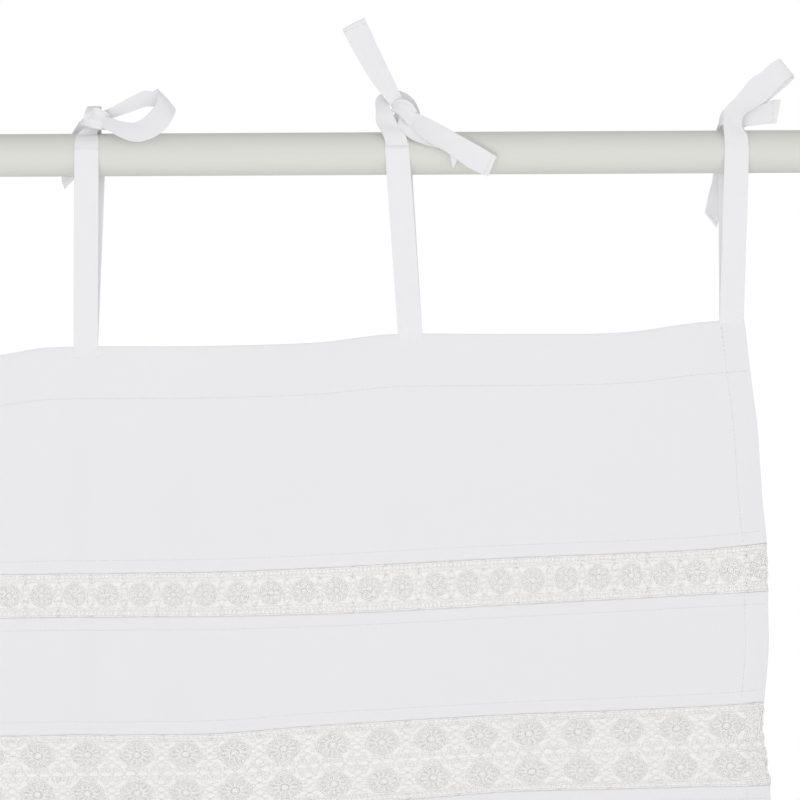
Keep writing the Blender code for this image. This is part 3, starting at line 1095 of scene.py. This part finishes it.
@dataclass
class TapeRun:
    """One run of tape, given by both of its edges at a few stations."""

    edges: tuple[Edge, ...]
    end: TapeEnd = TapeEnd.TUCKED
    creases: float = 0.0
    cup: float = 0.35
    steps: int = 9
    half: float = 0.27
    end_hem: float = 4.2

    def length(self) -> float:
        """Length of the run along its middle."""
        middle = np.array([(np.array(e.a) + np.array(e.b)) / 2 for e in self.edges])
        return float(np.linalg.norm(np.diff(middle, axis=0), axis=1).sum())

    def curves(self) -> tuple[np.ndarray, np.ndarray]:
        """Smooth both edges.

        Returns:
            The two edge curves, one row to a station.
        """
        places = tuple(float(k) for k in range(len(self.edges)))
        at = np.linspace(0, len(self.edges) - 1, (len(self.edges) - 1) * self.steps + 1)
        made = []
        for side in ("a", "b"):
            table = [getattr(edge, side) for edge in self.edges]
            made.append(np.stack([
                Curve(places, tuple(row[axis] for row in table)).at(at) for axis in range(3)
            ], -1))
        return made[0], made[1]

    def add_to(self, body: Mesher, stitches: Mesher, seed: int) -> None:
        """Make the tape, with its selvedges and its hemmed end.

        Args:
            body: gathers the tape.
            stitches: gathers the stitches of its hem.
            seed: sets its own unevenness.
        """
        first, second = self.curves()
        share = np.array([0, 0.02, 0.06, 0.1, 0.2, 0.35, 0.5, 0.65, 0.8, 0.9, 0.94, 0.98, 1.0])
        middle = (first + second) / 2
        along = np.gradient(middle, axis=0)
        run = np.concatenate([[0], np.cumsum(np.linalg.norm(np.diff(middle, axis=0), axis=1))])
        out = np.cross(along, second - first)
        out /= np.maximum(np.linalg.norm(out, axis=1, keepdims=True), 1e-9)
        grid = first[:, None] + (second - first)[:, None] * share[None, :, None]
        wave = np.sin(share * 2 * np.pi * 2.5)[None, :] * self.creases
        cup = (1 - (2 * share - 1) ** 2)[None, :] * self.cup
        uneven = SoftNoise(seed, 14.0).at(run[:, None], share[None, :] * 15) * 0.16
        grid = grid + out[:, None] * (wave + cup + uneven)[..., None]
        selvedge = np.array([0.45, 0.95, 1.15, 0.85, 1, 1, 1, 1, 1, 0.85, 1.15, 0.95, 0.45])
        thick = np.ones((len(run), 1)) * selvedge[None, :] * self.half
        if self.end is TapeEnd.HEMMED:
            near = run[-1] - run
            thick = thick * (1 + 0.8 / (1 + np.exp((near - self.end_hem) * 4)))[:, None]
            self.sew_end(stitches, grid, run, out, thick)
        thick[0] *= 0.4
        thick[-1] *= 0.5
        offset = out[:, None] * thick[..., None]
        wide = np.linalg.norm(second - first, axis=1).mean()
        uvs = np.stack([
            np.broadcast_to(share * wide, thick.shape), np.broadcast_to(run[:, None], thick.shape)
        ], -1) * MM
        body.sheet(grid + offset, grid - offset, uvs)

    @staticmethod
    def sew_end(stitches: Mesher, grid: np.ndarray, run: np.ndarray, out: np.ndarray,
                thick: np.ndarray) -> None:
        """Sew a row of stitches across the hemmed end, on both faces."""
        row = int(np.searchsorted(run, run[-1] - 3.4))
        line, normal = grid[row], out[row]
        for k in range(6):
            t = 0.08 + k * 0.145 + np.linspace(0, 0.09, 4)
            columns = np.linspace(0, 1, len(line))
            spots = np.stack([np.interp(t, columns, line[:, a]) for a in range(3)], -1)
            for face in (1, -1):
                lift = thick[row].max() * face + np.array([-0.1, 0.06, 0.06, -0.1]) * face
                path = spots + normal * lift[:, None]
                stitches.tube(path, np.repeat(normal[None], 4, 0), 0.16, 5)


@dataclass
class TapeTie:
    """One tape tie: two legs round the rod, a knot, and its loop and free ends."""

    name: str
    foot: float
    front: float
    back: float
    knot: tuple[float, float, float]
    size: tuple[float, float, float]
    runs: tuple[TapeRun, ...]
    shape: CurtainShape
    wide: float = 14.8
    arc: float = 13.45
    knot_length: float = 22.0

    def leg(self, side: int) -> TapeRun:
        """One leg, from inside the header up to the knot.

        Args:
            side: -1 in front of the rod, 1 behind it.

        Returns:
            The leg's run of tape.
        """
        x_rod = self.front if side < 0 else self.back
        x_knot, _, z_knot = self.knot
        half = self.wide / 2
        edge_a = float(self.shape.level(Seam.HEADER, np.array([self.foot - half]))[0])
        edge_b = float(self.shape.level(Seam.HEADER, np.array([self.foot + half]))[0])

        def station(x: float, y: float, za: float, zb: float, share: float = 1.0) -> Edge:
            """Both edges of the leg at one place, with its width as a share of the tape."""
            return Edge((x - half * share, y, za), (x + half * share, y, zb))

        low = [station(self.foot, 0.3 * side, edge_a - 7, edge_b - 7),
               station(self.foot, 0.55 * side, edge_a - 0.5, edge_b - 0.5)]
        tangent = math.radians(-6)
        rod_y, rod_z = self.arc * math.cos(tangent) * side, self.arc * math.sin(tangent)
        climb = []
        for t in (0.25, 0.5, 0.75):
            x = self.foot + (x_rod - self.foot) * t
            y = 0.55 * side + (rod_y - 0.55 * side) * t
            z_a, z_b = edge_a + (rod_z - edge_a) * t, edge_b + (rod_z - edge_b) * t
            climb.append(station(x, y, z_a, z_b))
        wrap = []
        for degrees, share in ((-6, 1.0), (14, 1.0), (34, 0.98), (54, 0.9), (68, 0.8)):
            a = math.radians(degrees)
            y, z = self.arc * math.cos(a) * side, self.arc * math.sin(a)
            wrap.append(station(x_rod, y, z, z, share))
        tuck = station(x_knot, 2.2 * side, z_knot - 3, z_knot - 3, 0.55)
        return TapeRun(tuple(low + climb + wrap + [tuck]), cup=0.2 if side < 0 else -0.2, steps=6)

    def core(self, body: Mesher) -> None:
        """The tape bunched up inside the knot."""
        rings, sides = 9, 16
        x, y, z = self.knot
        points, faces = [], []
        for i in range(rings):
            tilt = math.pi * (i + 0.5) / rings
            for k in range(sides):
                turn = 2 * math.pi * k / sides
                crease = 1 + 0.06 * math.sin(3 * turn + 2.1 * tilt)
                points.append((
                    x + self.size[0] * math.sin(tilt) * math.cos(turn) * crease,
                    y + self.size[1] * math.sin(tilt) * math.sin(turn) * crease,
                    z + self.size[2] * math.cos(tilt),
                ))
        for i in range(rings - 1):
            for k in range(sides):
                a, b = i * sides + k, i * sides + (k + 1) % sides
                faces.append([a, b, b + sides, a + sides])
        faces.append(list(range(sides)))
        faces.append([(rings - 1) * sides + k for k in range(sides)])
        body.add(np.array(points), faces)

    def build(self) -> None:
        """Make the tie and add up its tape's length."""
        body, stitches = Mesher(), Mesher()
        runs = [self.leg(-1), self.leg(1), *self.runs]
        for k, run in enumerate(runs):
            run.add_to(body, stitches, len(self.name) * 7 + k)
        self.core(body)
        tape = settle(body.build(self.name + "_tape", TAPE), [self.name])
        if stitches.count:
            settle(stitches.build(self.name + "_stitching", THREAD))
        length = sum(run.length() for run in runs) + self.knot_length


def plain_ends(x: float) -> tuple[TapeRun, ...]:
    """Plain free ends for the tie that stands at x: one in front and one behind the rod."""
    front = (
        Edge((x - 1, -3, 24), (x - 2, -4, 18)),
        Edge((x + 5, -9, 25), (x + 2, -10, 14)),
        Edge((x + 12, -11, 20), (x + 6, -14.5, 8)),
        Edge((x + 22, -15, 12), (x + 15, -16.5, -1)),
        Edge((x + 33, -17.5, 1), (x + 25, -17.5, -12)),
    )
    back = (
        Edge((x, 2, 25), (x, 3, 19)),
        Edge((x - 11, 8, 23), (x - 8, 8.5, 16)),
        Edge((x - 18, 15.5, 11), (x - 6, 16, 7)),
        Edge((x - 20, 15.5, -9), (x - 7, 15.5, -14)),
    )
    wrap = (
        Edge((x - 6.5, 2, 24), (x - 6.5, 2, 17)),
        Edge((x - 6, -5, 26), (x - 6.5, -6, 17)),
        Edge((x, -8.2, 27), (x - 1, -9, 16.5)),
        Edge((x + 6, -5, 26.5), (x + 6, -6, 16)),
        Edge((x + 6.5, 2, 25), (x + 6.5, 2, 17)),
    )
    hemmed = TapeEnd.HEMMED
    return (TapeRun(front, hemmed), TapeRun(back, hemmed), TapeRun(wrap, creases=0.3))


BOW_RUNS = (
    TapeRun((
        Edge((265, -1, 26), (265, -1, 20)),
        Edge((271.5, -2.5, 27), (274.6, -4, 21.8)),
        Edge((284.8, -1, 34), (285.4, -2.5, 25.5)),
        Edge((294.5, 0, 38.8), (296.4, -1.5, 29.2)),
        Edge((300.6, -2, 38.4), (306.5, -4, 28.5)),
        Edge((303.3, -5, 39.6), (314.2, -7.5, 27.2)),
        Edge((303.9, -9, 34.8), (313.4, -12.5, 21.6)),
        Edge((302.4, -11.5, 29.2), (309.6, -15.5, 15.3)),
        Edge((297.5, -12.5, 23.0), (303, -16.5, 9.8)),
        Edge((290.5, -13, 18.6), (292.3, -17, 6.6)),
        Edge((282.5, -12, 19.2), (282.2, -16, 9.2)),
        Edge((275, -9.5, 22.0), (273.6, -12.5, 14.2)),
        Edge((266, -6, 23), (266, -7, 18)),
    ), cup=0.3),
    TapeRun((
        Edge((265, 2, 25), (265, 2, 19.5)),
        Edge((257, 8, 23), (257, 8, 17)),
        Edge((249, 14, 13.5), (259, 15, 10)),
        Edge((244, 15.2, 0), (257, 15.2, -1)),
        Edge((242.7, 15.5, -13), (255.5, 15.5, -6)),
        Edge((244.5, 15.8, -19.6), (254.5, 15.8, -9.5)),
    ), TapeEnd.HEMMED),
    TapeRun((
        Edge((258.8, 7, 17), (268.5, 7, 17)),
        Edge((259.8, 4, 26.5), (268.6, 4, 27)),
        Edge((260.6, -2, 29.2), (268.8, -2, 29.2)),
        Edge((259.2, -6.6, 25), (267.4, -7, 25.6)),
        Edge((258.6, -7.6, 20), (266, -8, 20)),
    ), creases=0.2),
    TapeRun((
        Edge((263.2, -6.4, 27.8), (261.6, -7.2, 22.5)),
        Edge((266.8, -8.8, 28), (264.4, -9.6, 21)),
        Edge((271, -8, 26.4), (268.6, -9.6, 18.6)),
        Edge((275, -5, 23.6), (273, -6, 17.2)),
        Edge((275.5, -1, 22.5), (274, -1, 17.5)),
    ), creases=0.35),
    TapeRun((
        Edge((254.8, -2.5, 19.6), (255.2, -3, 18)),
        Edge((259.2, -7.4, 21.4), (259.5, -8, 17.2)),
        Edge((264.6, -9.6, 21.8), (265, -10, 15.4)),
        Edge((269.6, -9.4, 20.4), (269.6, -9.6, 14.6)),
        Edge((272.4, -5, 19), (272, -5, 15)),
        Edge((270.5, 1, 19), (270.5, 1, 16)),
    ), creases=0.3),
)

ENDS_RUNS = (
    TapeRun((
        Edge((449, -3, 24), (456, -3, 27)),
        Edge((441.6, -5, 33.4), (450.4, -5.6, 37.4)),
        Edge((433.2, -4.5, 44.4), (445.1, -6, 48.6)),
        Edge((425.2, -4, 57.8), (438.2, -5, 63.2)),
        Edge((418.6, -4, 70), (433, -4.5, 75)),
        Edge((415.9, -4, 75.6), (429.2, -4.5, 82.3)),
    ), TapeEnd.HEMMED, creases=0.22, cup=-0.5),
    TapeRun((
        Edge((455, -5, 25), (452, -5, 18)),
        Edge((461.4, -9.5, 23.6), (458.6, -13, 13.0)),
        Edge((476.8, -14, 15.6), (469.6, -16.2, 4.6)),
        Edge((484.5, -15.2, 11.1), (479, -17, -0.6)),
        Edge((498.2, -17, 3.4), (492.3, -17.5, -10.2)),
        Edge((509.4, -17.5, -3.4), (503.9, -17.5, -15.4)),
    ), TapeEnd.HEMMED, cup=0.5),
    TapeRun((
        Edge((450.5, -8, 23), (449, -9, 17.4)),
        Edge((455.2, -10.8, 16.5), (453.2, -12, 11.2)),
        Edge((462.5, -12.8, 11.5), (459.4, -14.2, 6.7)),
        Edge((471.5, -14.6, 7.5), (469.6, -15.4, 3.0)),
        Edge((480.5, -15.6, 4), (479.4, -15.8, 0.4)),
        Edge((488, -16, -1), (482.8, -16, -10.4)),
    ), cup=0.2),
    TapeRun((
        Edge((442.4, -13.6, 4), (456, -13.6, 4)),
        Edge((440.4, -12.4, 10.5), (454, -12.6, 10.5)),
        Edge((436.4, -9.2, 18.2), (450, -10, 16)),
        Edge((436.2, -6, 25.5), (446.5, -8, 24)),
        Edge((436, -1.4, 32), (444.6, -5, 28.6)),
        Edge((439.4, 1.6, 36.2), (447.4, -1.5, 30.2)),
        Edge((446, 2.5, 33.4), (451, 1, 27)),
    ), cup=0.3),
    TapeRun((
        Edge((446.6, -5.6, 30.2), (444.8, -6.4, 24.6)),
        Edge((451.6, -8.6, 32.4), (448.6, -10.4, 23.6)),
        Edge((457, -9.4, 30.4), (452.8, -12, 19.6)),
        Edge((461, -8.4, 25.6), (456.4, -12, 15.2)),
        Edge((463, -5.6, 20.4), (460.6, -7, 13.2)),
        Edge((460, 0, 19), (459, 0, 15)),
    ), creases=0.4, cup=0.6),
    TapeRun((
        Edge((450.4, 1.5, 38.6), (447, 1, 30)),
        Edge((455.6, 0.4, 36.2), (451.4, 0, 28.4)),
        Edge((460, -1, 31.8), (456, -1.5, 25)),
        Edge((463.2, -2, 24.6), (459, -2.5, 19.6)),
    ), creases=0.2),
)

FOLDED_RUNS = (
    TapeRun((
        Edge((647.9, -13.9, 2), (661.6, -13.9, 2)),
        Edge((647.2, -12.4, 9.5), (661.2, -12.6, 9)),
        Edge((647, -9.4, 18.6), (658.4, -10.6, 14.6)),
        Edge((648.4, -7.6, 25.6), (659.4, -9.4, 20.8)),
        Edge((656.5, -6, 34.2), (664.6, -7.8, 25)),
        Edge((664, -5.2, 43.4), (672.4, -6.6, 29.6)),
        Edge((670.7, -4.8, 47.8), (679, -5.6, 36.2)),
        Edge((675.6, -4.4, 52.4), (684.4, -5, 41.4)),
        Edge((681.6, -3.6, 56), (690, -4, 46)),
        Edge((683.4, -1.6, 55), (691, -2, 44.8)),
        Edge((681, 0.4, 52), (689.4, 0.2, 42.4)),
        Edge((672, 1, 44), (680.4, 0.6, 34.8)),
        Edge((662, 1.2, 33), (670, 1.2, 26.8)),
        Edge((654, 1, 26), (657, 1, 19.5)),
    ), cup=0.3, creases=0.12),
    TapeRun((
        Edge((655, -3, 23), (655, -4, 15.6)),
        Edge((662, -3.4, 25), (661.6, -5, 15.2)),
        Edge((670.4, -3, 28.2), (671, -4.4, 16.2)),
        Edge((677, -3, 30.8), (676.6, -4, 16.8)),
        Edge((682.7, -3, 31.4), (679.8, -4, 17)),
    ), TapeEnd.HEMMED, cup=-0.7),
    TapeRun((
        Edge((652, 3.5, 25), (656, 3.5, 19)),
        Edge((646, 11, 18), (655, 11, 14)),
        Edge((644, 15.2, 5), (655, 15.2, 2)),
        Edge((642.9, 15.6, -14.4), (653.5, 15.6, -18)),
        Edge((640.4, 15, -24), (650.5, 15, -28)),
        Edge((637.8, 14.6, -36.4), (644.8, 14, -45.4)),
    ), TapeEnd.HEMMED, cup=0.4),
    TapeRun((
        Edge((646.2, 6, 14), (646.6, 6, 20)),
        Edge((647, -3, 16), (647.6, -3, 25)),
        Edge((654, -7, 15), (655, -6.4, 26)),
        Edge((661, -4, 14.6), (660, -3, 23)),
    ), creases=0.2),
)


# ---------------------------------------------------------------- rod and studio


@dataclass
class Rod:
    """The plain round pole."""

    length: float = 720.0
    radius: float = 13.0
    round_over: float = 0.7
    sides: int = 160

    def build(self) -> None:
        """Turn the pole and paint it."""
        profile = [(0.0, self.radius - self.round_over)]
        for k in range(1, 4):
            a = math.pi / 2 * k / 4
            profile.append((self.round_over * (1 - math.cos(a)),
                            self.radius - self.round_over * (1 - math.sin(a))))
        profile.append((self.round_over, self.radius))
        spans = [self.length * k / 12 for k in range(1, 12)]
        whole = profile + [(x, self.radius) for x in spans]
        whole += [(self.length - x, r) for x, r in reversed(profile)]
        points, faces = [], []
        for x, r in whole:
            for k in range(self.sides):
                turn = 2 * math.pi * k / self.sides
                points.append((x, r * math.cos(turn), r * math.sin(turn)))
        for i in range(len(whole) - 1):
            for k in range(self.sides):
                a, b = i * self.sides + k, i * self.sides + (k + 1) % self.sides
                faces.append([a, b, b + self.sides, a + self.sides])
        faces.append(list(range(self.sides)))
        faces.append([(len(whole) - 1) * self.sides + k for k in range(self.sides)])
        body = Mesher()
        body.add(np.array(points), faces)
        pole = body.build("pole", PAINT)
        for face in pole.data.polygons:
            face.use_smooth = len(face.vertices) == 4
        settle(pole, ["rod"])


@dataclass
class Studio:
    """Camera, light, backdrop and floor."""

    aim: tuple[float, float, float] = (0.450, 0.0, -0.1503)
    distance: float = 2.0
    view_width: float = 0.4878
    roll: float = 0.29
    ambient_low: float = 1.02
    ambient_high: float = 0.555
    key_power: float = 7.8
    fill_power: float = 2.85

    def camera(self) -> None:
        """Place the camera square to the curtain."""
        lens = bpy.data.cameras.new("camera")
        lens.sensor_width = 36.0
        lens.lens = 36.0 * self.distance / self.view_width
        lens.clip_end = 50
        made = bpy.data.objects.new("camera", lens)
        place = Vector(self.aim) + Vector((0, -self.distance, 0))
        turn = Matrix.Rotation(math.radians(90), 4, "X")
        made.matrix_world = (
            Matrix.Translation(place)
            @ Matrix.Rotation(math.radians(self.roll), 4, "Y")
            @ turn
        )
        bpy.context.scene.collection.objects.link(made)
        bpy.context.scene.camera = made

    def lamp(self, name: str, place: tuple[float, float, float], size: float, power: float) -> None:
        """Hang a soft square light that faces the curtain."""
        light = bpy.data.lights.new(name, "AREA")
        light.size = size
        light.energy = power
        made = bpy.data.objects.new(name, light)
        towards = Vector((self.aim[0], 0, -0.2)) - Vector(place)
        made.matrix_world = (
            Matrix.Translation(place) @ towards.to_track_quat("-Z", "Y").to_matrix().to_4x4()
        )
        bpy.context.scene.collection.objects.link(made)

    def world(self) -> None:
        """White backdrop, and soft light that is stronger from below than from above."""
        world = bpy.data.worlds.new("studio")
        bpy.context.scene.world = world
        world.use_nodes = True
        tree = world.node_tree
        tree.nodes.clear()
        out = tree.nodes.new("ShaderNodeOutputWorld")
        backdrop = tree.nodes.new("ShaderNodeBackground")
        backdrop.inputs["Color"].default_value = (1, 1, 1, 1)
        backdrop.inputs["Strength"].default_value = 1.0
        soft = tree.nodes.new("ShaderNodeBackground")
        soft.inputs["Color"].default_value = (1, 0.998, 1.0, 1)
        where = tree.nodes.new("ShaderNodeTexCoord")
        split = tree.nodes.new("ShaderNodeSeparateXYZ")
        grade = tree.nodes.new("ShaderNodeMapRange")
        grade.inputs["From Min"].default_value = -1.0
        grade.inputs["From Max"].default_value = 1.0
        grade.inputs["To Min"].default_value = self.ambient_low
        grade.inputs["To Max"].default_value = self.ambient_high
        path = tree.nodes.new("ShaderNodeLightPath")
        mix = tree.nodes.new("ShaderNodeMixShader")
        tree.links.new(where.outputs["Generated"], split.inputs[0])
        tree.links.new(split.outputs["Z"], grade.inputs["Value"])
        tree.links.new(grade.outputs["Result"], soft.inputs["Strength"])
        tree.links.new(path.outputs["Is Camera Ray"], mix.inputs[0])
        tree.links.new(soft.outputs[0], mix.inputs[1])
        tree.links.new(backdrop.outputs[0], mix.inputs[2])
        tree.links.new(mix.outputs[0], out.inputs["Surface"])

    def floor(self) -> None:
        """A plain pale floor well below the hem."""
        side, low = 1.3, -0.95
        corners = [(-side, -side, low), (side, -side, low), (side, side, low), (-side, side, low)]
        mesh = bpy.data.meshes.new("floor")
        mesh.from_pydata([(x + 0.36, y, z) for x, y, z in corners], [], [(0, 1, 2, 3)])
        mesh.materials.append(FLOOR.material())
        made = bpy.data.objects.new("floor", mesh)
        bpy.context.scene.collection.objects.link(made)

    def build(self) -> None:
        """Set up the whole studio."""
        self.camera()
        self.world()
        self.floor()
        self.lamp("key", (0.15, -1.6, -0.75), 1.0, self.key_power)
        self.lamp("fill", (1.7, -1.6, 0.4), 1.2, self.fill_power)
        bpy.context.scene.view_settings.view_transform = "Standard"


def main() -> None:
    """Build the studio and every piece, logging each piece's triangle count."""
    logging.basicConfig(level=logging.INFO, format="%(message)s")
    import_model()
    Studio().build()
    Rod().build()
    shape = CurtainShape()
    Panel(
        "top_panel", Band(shape, Seam.HEADER, Seam.NARROW_TOP), 33.0, 9.0,
        anchors=((404.8, 14.0), (598.0, 22.0)),
    ).build(["tie_left_tape", "tie_bow_tape", "tie_ends_tape", "tie_folded_tape"])
    narrow = Band(shape, Seam.NARROW_TOP, Seam.NARROW_FOOT, 0.5, 8.0)
    LaceBand("narrow_lace", narrow, NarrowChart(), 11.0, 4).build("top_panel_cloth")
    Panel("middle_panel", Band(shape, Seam.NARROW_FOOT, Seam.WIDE_TOP), 9.0, 9.0).build(
        ["narrow_lace_ground"])
    wide = Band(shape, Seam.WIDE_TOP, Seam.WIDE_FOOT, 0.6, 9.0)
    LaceBand("wide_lace", wide, WideChart(), 12.2, 9).build("middle_panel_cloth")
    Panel("lower_panel", Band(shape, Seam.WIDE_FOOT, Seam.FOOT), 9.0, 25.0, step=4.2).build(
        ["wide_lace_ground"])
    ties = (
        TapeTie("tie_left", 68, 68.5, 68.5, (68, 0, 20.6), (6.2, 5.6, 5.8), plain_ends(68), shape),
        TapeTie("tie_bow", 258.6, 260.8, 262.6, (264.6, 0, 21.4), (6.0, 5.6, 6.0), BOW_RUNS, shape),
        TapeTie("tie_ends", 456.4, 449.2, 450.4, (453.4, 0, 22.0), (6.6, 6.0, 6.4), ENDS_RUNS,
                shape),
        TapeTie("tie_folded", 652.4, 654.8, 653.4, (654.4, 0, 20.4), (5.8, 5.4, 5.4), FOLDED_RUNS,
                shape),
    )
    for tie in ties:
        tie.build()


if __name__ == "__main__":
    main()
